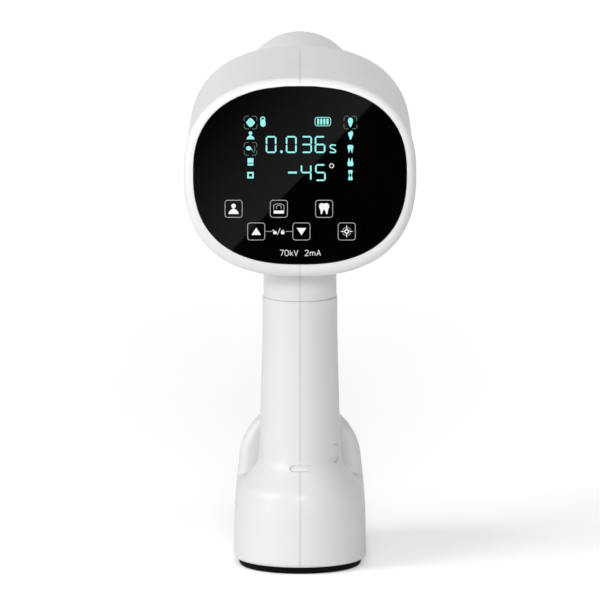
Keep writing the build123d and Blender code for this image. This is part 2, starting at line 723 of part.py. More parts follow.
# ------------------------------------------------------------ screen
def screen_parts():
    """Glass, display, touch board, frame and control board, all parallel."""
    glass = extrude(SCREEN.offset(-GLASS_SUNK) * glass_outline(0), -GLASS_THICK)
    face = glass.faces().sort_by(Axis(SCREEN.origin, SCREEN.z_dir))[-1]
    glass = chamfer(face.edges(), 0.35)
    keep("display_glass", glass)
    behind = GLASS_SUNK + GLASS_THICK + 0.1
    display_w = 12.7
    keep("display_module", screen_slab(72, 44, display_w, behind, 3.2, 2))
    keep("touch_board", screen_slab(76, 24, -24.5, behind, 1.2, 6))
    frame_at = behind + 3.3
    frame = extrude(SCREEN.offset(-frame_at) * outline(53, 42, 46), frame_at - FRAME_BACK)
    frame -= screen_slab(60, 36, display_w, frame_at - 1, 5, 4)
    frame -= screen_slab(62, 14, -24.5, frame_at - 1, 5, 4)
    board_at = FRAME_BACK + 5.0
    board = extrude(SCREEN.offset(-board_at) * outline(42, 40, 36), -1.6)
    standoffs = []
    screws = []
    frame_screws = []
    inward = tuple(-part for part in SCREEN.z_dir)
    outward = tuple(SCREEN.z_dir)
    for u, w in FRAME_SCREWS:
        frame -= rod(screen_point(u, w, frame_at - 1), inward, 1.6, 6)
        seat = tuple(screen_point(u, w, frame_at))
        frame_screws.append(pan_screw(seat, inward, 7.5, head_height=1.6, head_radius=2.5))
    for u in (-33, 33):
        for w in (20, -17):
            foot = screen_point(u, w, FRAME_BACK)
            post = sleeve(foot, inward, 3.0, 1.35, 5.0)
            standoffs.append(post)
            board -= rod(screen_point(u, w, board_at - 1), inward, 1.6, 5)
            seat = screen_point(u, w, board_at + 1.6)
            screws.append(pan_screw(tuple(seat), outward, 5.6, radius=1.3, head_radius=2.6))
    for u, w, wide, high, tall in (
        (0, 6, 16, 16, 2.0), (-24, 10, 9, 9, 1.6), (24, -6, 12, 7, 2.4), (-20, -22, 14, 6, 4.0),
    ):
        board += screen_slab(wide, high, w, board_at + 1.6, tall, 0.6, u)
    keep("display_frame", frame)
    keep("control_board", board)
    keep("board_standoffs", together(standoffs))
    keep("board_screws", together(screws))
    keep("frame_screws", together(frame_screws))
    ribbon_width = 22
    ribbon_from = behind + 3.25
    ribbon_to = board_at - 0.05
    flat = screen_slab(ribbon_width, 8, 2, ribbon_from, 0.3, 0.1)
    drop = screen_slab(ribbon_width, 0.3, -1.85, ribbon_from, ribbon_to - ribbon_from, 0.1)
    tail = screen_slab(ribbon_width, 8, -5.7, ribbon_to - 0.3, 0.3, 0.1)
    keep("display_ribbon", flat + drop + tail)


# ------------------------------------------------------------ x-ray generator
def tank_block(inset, z0, z1):
    """The tank's plan outline with round corners, as a slab, less the inset."""
    wide = 2 * (TANK_HALF_X - inset)
    deep = TANK_FRONT_Y - TANK_BACK_Y - 2 * inset
    middle = (TANK_FRONT_Y + TANK_BACK_Y) / 2
    shape = Pos(0, middle, z0) * RectangleRounded(wide, deep, max(TANK_CORNER - inset, 1.0))
    return extrude(shape, z1 - z0)


LID_SCREWS = [(x, y) for x in (-36.0, 36.0) for y in (-20.0, 6.0, 32.0)]
LID_LOW = TANK_HIGH_Z + 1.0
LID_THICK = 3.0
PORT_RADIUS = 9.0
FLANGE_SCREWS = [(22 * cos(radians(a)), BEAM_Z + 22 * sin(radians(a))) for a in (45, 135, 225, 315)]


def tank_parts():
    """The oil tank with its lid, seal, screws and lead lining."""
    tank = tank_block(0, TANK_LOW_Z, TANK_HIGH_Z)
    tank -= tank_block(TANK_WALL, TANK_LOW_Z + TANK_WALL, TANK_HIGH_Z + 1)
    lid = tank_block(0, LID_LOW, LID_LOW + LID_THICK)
    seal = tank_block(0.4, TANK_HIGH_Z + 0.05, LID_LOW - 0.05)
    seal -= tank_block(TANK_WALL - 0.4, TANK_HIGH_Z, LID_LOW)
    lining = tank_block(TANK_WALL + 0.15, TANK_LOW_Z + TANK_WALL + 0.1, TANK_HIGH_Z - 2)
    hollow = TANK_WALL + 0.15 + LEAD_WALL
    lining -= tank_block(hollow, TANK_LOW_Z + TANK_WALL + 0.1 + LEAD_WALL, TANK_HIGH_Z)
    screws = []
    for x, y in LID_SCREWS:
        post = rod((x, y, TANK_HIGH_Z - 9), (0, 0, 1), 3.6, 9)
        tank += post
        hole = rod((x, y, TANK_HIGH_Z - 7.5), (0, 0, 1), 1.35, 30)
        tank -= hole
        lid -= rod((x, y, TANK_HIGH_Z - 1), (0, 0, 1), 1.6, 10)
        seal += rod((x, y, TANK_HIGH_Z + 0.05), (0, 0, 1), 3.6, LID_LOW - TANK_HIGH_Z - 0.1)
        seal -= rod((x, y, TANK_HIGH_Z - 1), (0, 0, 1), 1.6, 10)
        lining -= rod((x, y, TANK_HIGH_Z - 10), (0, 0, 1), 3.9, 12)
        screws.append(
            pan_screw((x, y, LID_LOW + LID_THICK), (0, 0, -1), 9, head_radius=2.7, head_height=1.6)
        )
    beam = rod((0, 20, BEAM_Z), (0, 1, 0), PORT_RADIUS, 40)
    tank -= beam
    tank -= rod((0, TANK_FRONT_Y - 1.6, BEAM_Z), (0, 1, 0), 12.6, 5)
    for x, z in FLANGE_SCREWS:
        tank -= rod((x, TANK_FRONT_Y - 2.4, z), (0, 1, 0), 1.35, 5)
    lining -= beam
    keep("xray_tank", tank)
    keep("tank_lid", lid)
    keep("tank_seal", seal)
    keep("tank_lead_lining", lining)
    keep("lid_screws", together(screws))
    window = rod((0, TANK_FRONT_Y - 1.5, BEAM_Z), (0, 1, 0), 12.4, 1.4)
    keep("port_window", window)


def tube_parts():
    """The x-ray tube: glass, copper anode and cathode, lying along X."""
    half = 28.0
    centre = (-half, FOCUS_Y, BEAM_Z)
    glass = rod(centre, (1, 0, 0), TUBE_RADIUS, 2 * half)
    glass = fillet(glass.edges(), 5)
    hollow = rod((-half + 1.2, FOCUS_Y, BEAM_Z), (1, 0, 0), TUBE_RADIUS - 1.2, 2 * half - 2.4)
    glass -= fillet(hollow.edges(), 3.9)
    glass -= rod((-half - 5, FOCUS_Y, BEAM_Z), (1, 0, 0), 5.6, 2 * half + 10)
    keep("tube_glass", glass)
    anode = rod((0, FOCUS_Y, BEAM_Z), (1, 0, 0), 5.5, 34)
    wedge = Pos(-2.2, FOCUS_Y, BEAM_Z) * Rot(0, 0, -20) * Box(6, 40, 30)
    keep("tube_anode", anode - wedge)
    cathode = rod((-34, FOCUS_Y, BEAM_Z), (1, 0, 0), 5.5, 24)
    cathode -= Pos(-10, FOCUS_Y, BEAM_Z) * Box(3, 2.2, 7)
    keep("tube_cathode", cathode)


def high_voltage_parts():
    """The transformer and the voltage multiplier beside the beam."""
    core = block(6, 32, 8, 32, 193, 216)
    core -= block(10.5, 15.5, 0, 40, 197.5, 211.5)
    core -= block(22.5, 27.5, 0, 40, 197.5, 211.5)
    keep("hv_core", core)
    winding = block(11.0, 27.0, 3.5, 36.5, 198, 211)
    winding -= block(15.3, 22.7, 7.8, 32.2, 190, 220)
    keep("hv_winding", winding)
    board = block(-32, -30.4, 4, 36, 195, 244)
    keep("multiplier_board", board)
    cans = []
    for row in range(3):
        for column in range(2):
            place = (-30.3, 12 + 15 * column, 203 + 16 * row)
            cans.append(fillet(rod(place, (1, 0, 0), 5.5, 8).edges(), 0.8))
    keep("hv_capacitors", together(cans))
    cup = rod((-8, 20, 192.4), (0, 0, 1), 10, 9)
    cup = fillet(cup.edges(), 2)
    for level in (194.8, 197.0, 199.2):
        cup -= sleeve((-8, 20, level), (0, 0, 1), 11, 8.8, 0.9)
    keep("oil_bellows", cup)


def cone_parts():
    """Lead collimator, flange, cone, its lead liner and its end ring."""
    disc = sleeve((0, TANK_FRONT_Y + 0.3, BEAM_Z), (0, 1, 0), 28, 8.4, 3.0)
    flange_at = TANK_FRONT_Y + 3.5
    flange = sleeve((0, flange_at, BEAM_Z), (0, 1, 0), 33.5, 16, 4.0)
    bore = CONE_RADIUS - CONE_WALL
    spigot = sleeve((0, flange_at + 4.0, BEAM_Z), (0, 1, 0), bore - 0.1, bore - 3, 4.5)
    flange += spigot
    screws = []
    for x, z in FLANGE_SCREWS:
        hole = rod((x, flange_at - 6, z), (0, 1, 0), 1.6, 14)
        disc -= hole
        flange -= hole
        seat = (x, flange_at + 4.0, z)
        screws.append(pan_screw(seat, (0, -1, 0), 9.6))
    keep("collimator_disc", disc)
    keep("cone_flange", flange)
    keep("flange_screws", together(screws))
    cone = sleeve((0, CONE_START_Y, BEAM_Z), (0, 1, 0), CONE_RADIUS - 0.35, bore,
                  CONE_MOUTH_Y - CONE_START_Y)
    cone += sleeve((0, CONE_MOUTH_Y, BEAM_Z), (0, 1, 0), CONE_RADIUS, bore,
                   CONE_END_Y - CONE_MOUTH_Y)
    outer = cone.edges().filter_by(GeomType.CIRCLE).sort_by(Axis.Y)[-2:]
    rim = outer.sort_by(SortBy.RADIUS)[-1]
    keep("cone_tube", fillet(rim, 1.2))
    liner_start = flange_at + 8.8
    ring_length = 5.0
    liner_end = CONE_END_Y - ring_length - 0.3
    keep("cone_lead_liner", sleeve((0, liner_start, BEAM_Z), (0, 1, 0), bore - 0.1,
                                   bore - 0.1 - LINER_WALL, liner_end - liner_start))
    ring = sleeve((0, CONE_END_Y - ring_length, BEAM_Z), (0, 1, 0), bore - 0.1, bore - 3, 4.6)
    keep("cone_end_ring", ring)


def frame_parts():
    """The cradle under the tank and the column that stands in the handle."""
    column = sleeve((0, GRIP_AXIS, 140), (0, 0, 1), 17.1, 14.6, 43.9)
    flange = sleeve((0, GRIP_AXIS, 181), (0, 0, 1), 24, 14.6, 2.9)
    column += flange
    column -= block(-12.6, -5.4, -60, -26, 158, 190)
    cradle = block(-34, 34, -28, 38, 184.0, 187.9)
    cradle -= rod((0, GRIP_AXIS, 180), (0, 0, 1), 14.6, 20)
    cradle = fillet(cradle.edges().filter_by(Axis.Z).filter_by(GeomType.LINE), 5)
    screws = []
    for angle in (0, 60, 120, 180):
        x = 20.5 * cos(radians(angle))
        y = GRIP_AXIS + 20.5 * sin(radians(angle))
        column -= rod((x, y, 178), (0, 0, 1), 1.6, 6)
        cradle -= rod((x, y, 183), (0, 0, 1), 1.35, 4)
        screws.append(pan_screw((x, y, 181.0), (0, 0, 1), 5.6, head_radius=2.5, head_height=1.6))
    keep("neck_column", column)
    keep("tank_cradle", cradle)
    keep("cradle_screws", together(screws))


def main():
    os.makedirs("parts", exist_ok=True)
    head = head_covers()
    grip = grip_covers()
    side_fasteners(head, grip)
    base_parts()
    charge_port_parts()
    battery_parts()
    power_board_parts()
    power_harness()
    trigger_parts()
    button_parts()
    screen_parts()
    tank_parts()
    tube_parts()
    high_voltage_parts()
    cone_parts()
    frame_parts()
    for name, shape in PARTS.items():
        export_step(shape, f"parts/{name}.step")


main()
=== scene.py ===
import bpy
import bmesh
import math
from mathutils import Matrix, Vector


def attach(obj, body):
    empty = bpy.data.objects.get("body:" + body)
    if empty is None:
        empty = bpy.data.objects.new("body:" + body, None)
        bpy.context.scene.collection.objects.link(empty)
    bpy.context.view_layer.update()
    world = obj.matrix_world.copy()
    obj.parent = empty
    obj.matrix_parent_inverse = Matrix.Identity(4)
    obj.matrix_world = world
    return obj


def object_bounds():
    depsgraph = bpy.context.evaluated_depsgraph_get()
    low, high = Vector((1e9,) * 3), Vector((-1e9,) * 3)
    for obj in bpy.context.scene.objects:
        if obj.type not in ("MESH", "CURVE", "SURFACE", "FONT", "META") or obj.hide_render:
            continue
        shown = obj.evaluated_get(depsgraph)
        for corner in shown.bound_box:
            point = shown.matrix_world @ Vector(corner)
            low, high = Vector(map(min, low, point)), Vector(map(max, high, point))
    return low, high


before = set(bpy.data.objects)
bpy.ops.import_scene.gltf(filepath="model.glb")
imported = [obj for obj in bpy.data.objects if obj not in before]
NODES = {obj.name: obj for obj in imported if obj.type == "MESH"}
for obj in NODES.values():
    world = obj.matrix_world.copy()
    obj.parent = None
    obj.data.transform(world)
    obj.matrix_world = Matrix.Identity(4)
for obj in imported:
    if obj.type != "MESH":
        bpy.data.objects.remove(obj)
cad_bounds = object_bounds()

MM = 0.001
SCREEN_TILT = math.radians(8.0)      # the screen leans back by this angle
CAMERA_ELEVATION = math.radians(9.75)
CAMERA_DISTANCE = 14.0               # far away, for the view of a very long lens
CAMERA_AIM_Z = 0.1422
PICTURE_WIDTH = 0.3276               # width of the view at the object
PRINT_LOW = 0.00001                  # the printed and lit marks stand this far off the glass
PRINT_HIGH = 0.00005                 # and end here

SIDE = Vector((1, 0, 0))
UP = Vector((0, math.sin(SCREEN_TILT), math.cos(SCREEN_TILT)))    # up along the screen
OUT = SIDE.cross(UP)                 # out of the screen, towards the operator
GLASS_LOWEST_W = 0.0505              # the glass reaches this far below its widest line
GLASS = [vertex.co for vertex in NODES["display_glass"].data.vertices]
GLASS_FACE = max(p.dot(OUT) for p in GLASS)
GLASS_LOWEST = min(p.dot(UP) for p in GLASS)
FRONT = OUT * GLASS_FACE + UP * (GLASS_LOWEST + GLASS_LOWEST_W)    # middle of the widest line

PAINTED_RIM_DEPTH = 0.0044                    # the rim's painted highlight ends this far behind the glass's face
PAINTED_RIM_FADE = 0.0002
PAINTED_LIGHT_AXIS = UP * 0.87 - SIDE * 0.5    # the painted highlight fades from the top left, towards the key light, to the lower right
PAINTED_LIGHT_NONE = -0.040                 # along that axis: no painted highlight from here on
PAINTED_LIGHT_FULL = 0.034
GRAIN_DEPTH = 0.0002
TRACK_HEIGHT = 0.0001


# ------------------------------------------------------------ materials
def start_material(name):
    made = bpy.data.materials.new(name)
    made.use_nodes = True
    tree = made.node_tree
    shader = next(n for n in tree.nodes if n.type == "BSDF_PRINCIPLED")
    return made, tree, shader


def place_noise(tree, scale, detail=3.0, stretch=(1, 1, 1)):
    """Noise in the object's own space; scale is in waves per metre."""
    coords = tree.nodes.new("ShaderNodeTexCoord")
    mapping = tree.nodes.new("ShaderNodeMapping")
    mapping.inputs["Scale"].default_value = stretch
    noise = tree.nodes.new("ShaderNodeTexNoise")
    noise.inputs["Scale"].default_value = scale
    noise.inputs["Detail"].default_value = detail
    tree.links.new(coords.outputs["Object"], mapping.inputs["Vector"])
    tree.links.new(mapping.outputs["Vector"], noise.inputs["Vector"])
    return noise.outputs["Fac"]


def ranged(tree, value, from_low, from_high, to_low=0.0, to_high=1.0):
    """Maps a value from one range to another, and keeps it inside the second."""
    node = tree.nodes.new("ShaderNodeMapRange")
    node.inputs["From Min"].default_value = from_low
    node.inputs["From Max"].default_value = from_high
    node.inputs["To Min"].default_value = to_low
    node.inputs["To Max"].default_value = to_high
    tree.links.new(value, node.inputs["Value"])
    return node.outputs["Result"]


NOISE_LOW = 0.3                      # most of a noise lies between these two
NOISE_HIGH = 0.7


def spread(tree, factor, low, high):
    """Maps the middle of a noise to low and high."""
    return ranged(tree, factor, NOISE_LOW, NOISE_HIGH, low, high)


def distance_along(tree, axis):
    """How far a place lies along an axis of the object's own space."""
    coords = tree.nodes.new("ShaderNodeTexCoord")
    along = tree.nodes.new("ShaderNodeVectorMath")
    along.operation = "DOT_PRODUCT"
    along.inputs[1].default_value = axis
    tree.links.new(coords.outputs["Object"], along.inputs[0])
    return along.outputs["Value"]


def product(tree, first, second):
    node = tree.nodes.new("ShaderNodeMath")
    node.operation = "MULTIPLY"
    tree.links.new(first, node.inputs[0])
    tree.links.new(second, node.inputs[1])
    return node.outputs["Value"]


def blend_colours(tree, factor, first, second):
    """Mixes two colours, each of them a fixed one or the output of a node."""
    node = tree.nodes.new("ShaderNodeMix")
    node.data_type = "RGBA"
    for socket, colour in ((node.inputs[6], first), (node.inputs[7], second)):
        if isinstance(colour, tuple):
            socket.default_value = (*colour, 1)
        else:
            tree.links.new(colour, socket)
    tree.links.new(factor, node.inputs[0])
    return node.outputs[2]


def add_bump(tree, shader, factor, strength, distance):
    bump = tree.nodes.new("ShaderNodeBump")
    bump.inputs["Strength"].default_value = strength
    bump.inputs["Distance"].default_value = distance
    tree.links.new(factor, bump.inputs["Height"])
    tree.links.new(bump.outputs["Normal"], shader.inputs["Normal"])


GLOSS_TO_COLOUR = 2.3                # gloss patches are this much finer than colour patches
PATCH_DETAIL = 4.0                   # how many finer layers each kind of noise has
GLOSS_DETAIL = 5.0
GRAIN_DETAIL = 2.0
COAT_ROUGHNESS = 0.12


def surface(name, colour, roughness, change, patch, grain, bump, rough_change=0.05,
            metallic=0.0, coat=0.0, stretch=(1, 1, 1), gloss=0.5):
    """A moulded, turned or rolled surface: patchy colour and gloss over a fine grain.

    Patch and grain are in waves per metre; change is the share by which the colour varies.
    """
    made, tree, shader = start_material(name)
    patches = spread(tree, place_noise(tree, patch, PATCH_DETAIL), 0.0, 1.0)
    darker = tuple(part * (1 - change) for part in colour)
    lighter = tuple(min(1.0, part * (1 + change)) for part in colour)
    tree.links.new(blend_colours(tree, patches, darker, lighter), shader.inputs["Base Color"])
    gloss_and_painted_light = place_noise(tree, patch * GLOSS_TO_COLOUR, GLOSS_DETAIL, stretch)
    tree.links.new(spread(tree, gloss_and_painted_light, roughness - rough_change, roughness + rough_change),
                   shader.inputs["Roughness"])
    grains = place_noise(tree, grain, GRAIN_DETAIL, stretch)
    add_bump(tree, shader, grains, bump, GRAIN_DEPTH)
    shader.inputs["Metallic"].default_value = metallic
    shader.inputs["Specular IOR Level"].default_value = gloss
    shader.inputs["Coat Weight"].default_value = coat
    shader.inputs["Coat Roughness"].default_value = COAT_ROUGHNESS
    return made


def white_abs(name):
    """Satin white plastic with a faint grain; the rim carries a painted highlight, whiter than the
    body and most of all at its top left, towards the key light.
    """
    made, tree, shader = start_material(name)
    patches = spread(tree, place_noise(tree, 22.0, PATCH_DETAIL), 0.0, 1.0)
    body = blend_colours(tree, patches, (0.722, 0.733, 0.744), (0.736, 0.747, 0.758))
    # painted highlight: the rim gets a whiter colour than the body, for the light that its face
    # catches
    painted_rim_highlight = blend_colours(tree, patches, (0.830, 0.838, 0.846), (0.845, 0.853, 0.860))
    behind = FRONT.dot(OUT) - PAINTED_RIM_DEPTH
    painted_rim_mask = ranged(tree, distance_along(tree, OUT), behind - PAINTED_RIM_FADE, behind)
    # painted light: the rim's whiteness grows towards the top left, where the key light comes from
    middle = FRONT.dot(PAINTED_LIGHT_AXIS)
    gloss_and_painted_light = ranged(tree, distance_along(tree, PAINTED_LIGHT_AXIS), middle + PAINTED_LIGHT_NONE,
                    middle + PAINTED_LIGHT_FULL)
    tone = blend_colours(tree, product(tree, painted_rim_mask, gloss_and_painted_light), body, painted_rim_highlight)
    tree.links.new(tone, shader.inputs["Base Color"])
    wear = place_noise(tree, 50.0, GLOSS_DETAIL)
    tree.links.new(spread(tree, wear, 0.36, 0.43), shader.inputs["Roughness"])
    add_bump(tree, shader, place_noise(tree, 2600.0, GRAIN_DETAIL), 0.035, GRAIN_DEPTH)
    shader.inputs["Coat Weight"].default_value = 0.10
    shader.inputs["Coat Roughness"].default_value = 0.15
    return made


def black_glass():
    """Back-printed glass: near black, with the faint smears that fingers leave."""
    made, tree, shader = start_material("black_glass")
    smears = place_noise(tree, 60.0, 6.0, (1.0, 1.0, 0.45))
    tone = blend_colours(tree, smears, (0.0006, 0.0006, 0.0008), (0.0014, 0.0014, 0.0016))
    tree.links.new(tone, shader.inputs["Base Color"])
    tree.links.new(spread(tree, smears, 0.004, 0.016), shader.inputs["Roughness"])
    shader.inputs["IOR"].default_value = 1.5
    return made


def clear_glass():
    """The glass of the tube: clear and a little green, with slow waves in it."""
    made, tree, shader = start_material("tube_glass")
    flow = place_noise(tree, 90.0, 2.0)
    tone = blend_colours(tree, flow, (0.84, 0.92, 0.90), (0.90, 0.96, 0.95))
    tree.links.new(tone, shader.inputs["Base Color"])
    tree.links.new(spread(tree, flow, 0.01, 0.05), shader.inputs["Roughness"])
    shader.inputs["Transmission Weight"].default_value = 0.95
    return made


def board_green():
    """Solder mask over a pattern of copper tracks."""
    made, tree, shader = start_material("circuit_board")
    coords = tree.nodes.new("ShaderNodeTexCoord")
    tracks = tree.nodes.new("ShaderNodeTexBrick")
    tracks.inputs["Scale"].default_value = 320.0
    tracks.inputs["Mortar Size"].default_value = 0.06
    tracks.inputs["Color1"].default_value = (0.02, 0.16, 0.07, 1)
    tracks.inputs["Color2"].default_value = (0.03, 0.21, 0.09, 1)
    tracks.inputs["Mortar"].default_value = (0.06, 0.32, 0.14, 1)
    tree.links.new(coords.outputs["Object"], tracks.inputs["Vector"])
    tree.links.new(tracks.outputs["Color"], shader.inputs["Base Color"])
    tree.links.new(spread(tree, place_noise(tree, 300.0), 0.25, 0.4), shader.inputs["Roughness"])
    add_bump(tree, shader, tracks.outputs["Fac"], 0.2, TRACK_HEIGHT)
    return made


def lit_marks(name, colour, low, high):
    """A lit display: every mark a little uneven, as on a real panel."""
    made, tree, shader = start_material(name)
    glow = place_noise(tree, 1500.0, 1.0)
    dimmer = tuple(part * low for part in colour)
    brighter = tuple(part * high for part in colour)
    tree.links.new(blend_colours(tree, glow, dimmer, brighter), shader.inputs["Emission Color"])
    shader.inputs["Emission Strength"].default_value = 1.0
    shader.inputs["Base Color"].default_value = (0.01, 0.02, 0.02, 1)
    shader.inputs["Roughness"].default_value = 0.3
    return made


TURNED = (1, 1, 9)                   # the grain runs round the Z axis
METALS = {
    "brass": dict(colour=(0.72, 0.55, 0.25), roughness=0.28, change=0.06, patch=60.0,
                  grain=700.0, bump=0.1, stretch=TURNED),
    "steel": dict(colour=(0.60, 0.61, 0.63), roughness=0.32, change=0.06, patch=80.0,
                  grain=700.0, bump=0.12, stretch=TURNED),
    "aluminium": dict(colour=(0.68, 0.69, 0.71), roughness=0.38, change=0.05, patch=50.0,
                      grain=500.0, bump=0.15, stretch=(1, 6, 1)),
    "copper": dict(colour=(0.70, 0.33, 0.18), roughness=0.3, change=0.10, patch=60.0,
                   grain=700.0, bump=0.2),
    "nickel": dict(colour=(0.66, 0.65, 0.61), roughness=0.3, change=0.05, patch=60.0,
                   grain=700.0, bump=0.15),
}
OTHERS = {
    "cone": dict(colour=(0.70, 0.705, 0.712), roughness=0.36, change=0.01, patch=18.0,
                 grain=2200.0, bump=0.03, rough_change=0.03, coat=0.15),
    "trigger": dict(colour=(0.30, 0.31, 0.33), roughness=0.45, change=0.05, patch=80.0,
                    grain=1800.0, bump=0.18),
    "plug": dict(colour=(0.78, 0.785, 0.79), roughness=0.6, change=0.02, patch=90.0,
                 grain=1900.0, bump=0.10),
    "dark_plastic": dict(colour=(0.035, 0.035, 0.04), roughness=0.5, change=0.15, patch=70.0,
                         grain=1500.0, bump=0.2),
    "inner_plastic": dict(colour=(0.17, 0.17, 0.18), roughness=0.55, change=0.08, patch=60.0,
                          grain=900.0, bump=0.2),
    "ribbon": dict(colour=(0.70, 0.42, 0.14), roughness=0.35, change=0.10, patch=200.0,
                   grain=900.0, bump=0.15, stretch=(7, 1, 1)),
    "rubber": dict(colour=(0.045, 0.045, 0.045), roughness=0.7, change=0.2, patch=90.0,
                   grain=800.0, bump=0.3),
    "lead": dict(colour=(0.25, 0.26, 0.29), roughness=0.55, change=0.15, patch=40.0,
                 grain=260.0, bump=0.35, metallic=0.85, stretch=(1, 4, 1)),
    "ferrite": dict(colour=(0.10, 0.10, 0.11), roughness=0.6, change=0.15, patch=60.0,
                    grain=900.0, bump=0.3),
    "ceramic": dict(colour=(0.12, 0.26, 0.55), roughness=0.3, change=0.08, patch=90.0,
                    grain=900.0, bump=0.1),
    "window": dict(colour=(0.72, 0.66, 0.50), roughness=0.35, change=0.05, patch=60.0,
                   grain=900.0, bump=0.1),
    "foot_rubber": dict(colour=(0.002, 0.002, 0.0022), roughness=0.8, change=0.25, patch=90.0,
                        grain=1100.0, bump=0.25, gloss=0.08),
    "cell_sleeve": dict(colour=(0.06, 0.22, 0.50), roughness=0.3, change=0.06, patch=50.0,
                        grain=500.0, bump=0.08),
    "cable": dict(colour=(0.05, 0.05, 0.055), roughness=0.6, change=0.3, patch=120.0,
                  grain=1300.0, bump=0.5, stretch=(3, 3, 1)),
}
MATERIALS = {
    "cover": white_abs("cover"),
    "black_glass": black_glass(),
    "tube_glass": clear_glass(),
    "circuit_board": board_green(),
}
MATERIALS.update((name, surface(name, metallic=1.0, **look)) for name, look in METALS.items())
MATERIALS.update((name, surface(name, **look)) for name, look in OTHERS.items())


def finish_nodes():
    """Gives every CAD node the finish that its material slot names."""
    for node in NODES.values():
        for slot in node.material_slots:
            key = slot.material.name.split(".")[0] if slot.material else ""
            if key in MATERIALS:
                slot.material = MATERIALS[key]
            else:
                print("no finish for", node.name, key)


# ------------------------------------------------------------ marks on the screen
SHARPEST_MITRE = 0.35                # a stroke's corner grows no further than this share allows
DISC_SIDES = 18


# Places on the screen are in millimetres from the middle of the glass's widest line, first to
# the right and then up. Strokes and sizes are in millimetres too.
class Marks:
    """Flat strokes, bars and rings on the glass, gathered into one thin mesh."""

    def __init__(self, name, material, slot):
        self.name = name
        self.material = material
        self.slot = slot
        self.mesh = bmesh.new()

    def plate(self, outline):
        """A thin plate with this outline."""
        places = [FRONT + SIDE * u * MM + UP * w * MM for u, w in outline]
        bottom = [self.mesh.verts.new(p + OUT * PRINT_LOW) for p in places]
        top = [self.mesh.verts.new(p + OUT * PRINT_HIGH) for p in places]
        self.mesh.faces.new(top)
        self.mesh.faces.new(list(reversed(bottom)))
        count = len(places)
        for i in range(count):
            after = (i + 1) % count
            self.mesh.faces.new((bottom[i], bottom[after], top[after], top[i]))

    def line(self, points, width, closed=False):
        """A stroke through the points, mitred at its corners."""
        pts = [Vector(p) for p in points]
        count = len(pts)
        left, right = [], []
        for i, point in enumerate(pts):
            before = pts[i - 1] if i or closed else None
            after = pts[(i + 1) % count] if i < count - 1 or closed else None
            ahead = (after - point).normalized() if after is not None else None
            behind = (point - before).normalized() if before is not None else None
            one = ahead if ahead is not None else behind
            two = behind if behind is not None else ahead
            mean = (one + two).normalized()
            across = Vector((-mean.y, mean.x))
            reach = width / 2 / max(SHARPEST_MITRE, across.dot(Vector((-one.y, one.x))))
            left.append(point + across * reach)
            right.append(point - across * reach)
        for i in range(count if closed else count - 1):
            j = (i + 1) % count
            self.plate([right[i], right[j], left[j], left[i]])

    def arc(self, centre, radius, width, start=0, end=360):
        """A stroke round a centre, from one angle in degrees to another."""
        turn = end - start
        steps = max(6, int(turn / 15))
        whole = turn == 360
        angles = [math.radians(start + turn * i / steps) for i in range(steps + (not whole))]
        points = [(centre[0] + radius * math.cos(a), centre[1] + radius * math.sin(a))
                  for a in angles]
        self.line(points, width, closed=whole)

    def disc(self, centre, radius, squash=1.0):
        angles = [math.tau * i / DISC_SIDES for i in range(DISC_SIDES)]
        self.plate([(centre[0] + radius * math.cos(a), centre[1] + radius * squash * math.sin(a))
                    for a in angles])

    def box(self, centre, width, height):
        u, w = centre
        self.plate([(u - width / 2, w - height / 2), (u + width / 2, w - height / 2),
                    (u + width / 2, w + height / 2), (u - width / 2, w + height / 2)])

    def frame(self, centre, width, height, corner, stroke):
        """A rounded rectangle drawn as a stroke."""
        points = []
        for quarter, (sx, sy) in enumerate(((1, 1), (-1, 1), (-1, -1), (1, -1))):
            for step in range(5):
                a = math.radians(90 * quarter + 22.5 * step)
                points.append((centre[0] + sx * (width / 2 - corner) + corner * math.cos(a),
                               centre[1] + sy * (height / 2 - corner) + corner * math.sin(a)))
        self.line(points, stroke, closed=True)

    def done(self):
        data = bpy.data.meshes.new(self.name)
        bmesh.ops.recalc_face_normals(self.mesh, faces=self.mesh.faces)
        self.mesh.to_mesh(data)
        self.mesh.free()
        data.materials.append(self.material)
        made = bpy.data.objects.new(self.name, data)
        bpy.context.scene.collection.objects.link(made)
        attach(made, "root")


SEGMENT_GAP = 0.12
SEGMENTS = {"0": "abcdef", "3": "abcdg", "4": "bcfg", "5": "acdfg", "6": "acdefg", "-": "g"}


def digit(marks, sign, left, base, width, height, thick):
    """One seven-segment figure, its segments with pointed ends."""
    x0, x1 = left + thick / 2, left + width - thick / 2
    y0, y1, y2 = base + thick / 2, base + height / 2, base + height - thick / 2
    ends = {"a": (x0, y2, x1, y2), "b": (x1, y1, x1, y2), "c": (x1, y0, x1, y1),
            "d": (x0, y0, x1, y0), "e": (x0, y0, x0, y1), "f": (x0, y1, x0, y2),
            "g": (x0, y1, x1, y1)}
    for key in SEGMENTS[sign]:
        ax, ay, bx, by = ends[key]
        start, end = Vector((ax, ay)), Vector((bx, by))
        along = (end - start).normalized()
        start = start + along * SEGMENT_GAP
        end = end - along * SEGMENT_GAP
        across = Vector((-along.y, along.x)) * thick / 2
        tip = along * thick / 2
        marks.plate([start, start + tip - across, end - tip - across, end,
                     end - tip + across, start + tip + across])


def shape(marks, centre, size, outline, narrow=1.0):
    """A filled outline; its points are in parts of the size."""
    marks.plate([(centre[0] + u * size * narrow, centre[1] + w * size) for u, w in outline])


def mirrored(half):
    """Closes a right-hand half outline, given from top to bottom, with its mirror image."""
    return half + [(-u, w) for u, w in reversed(half) if u]


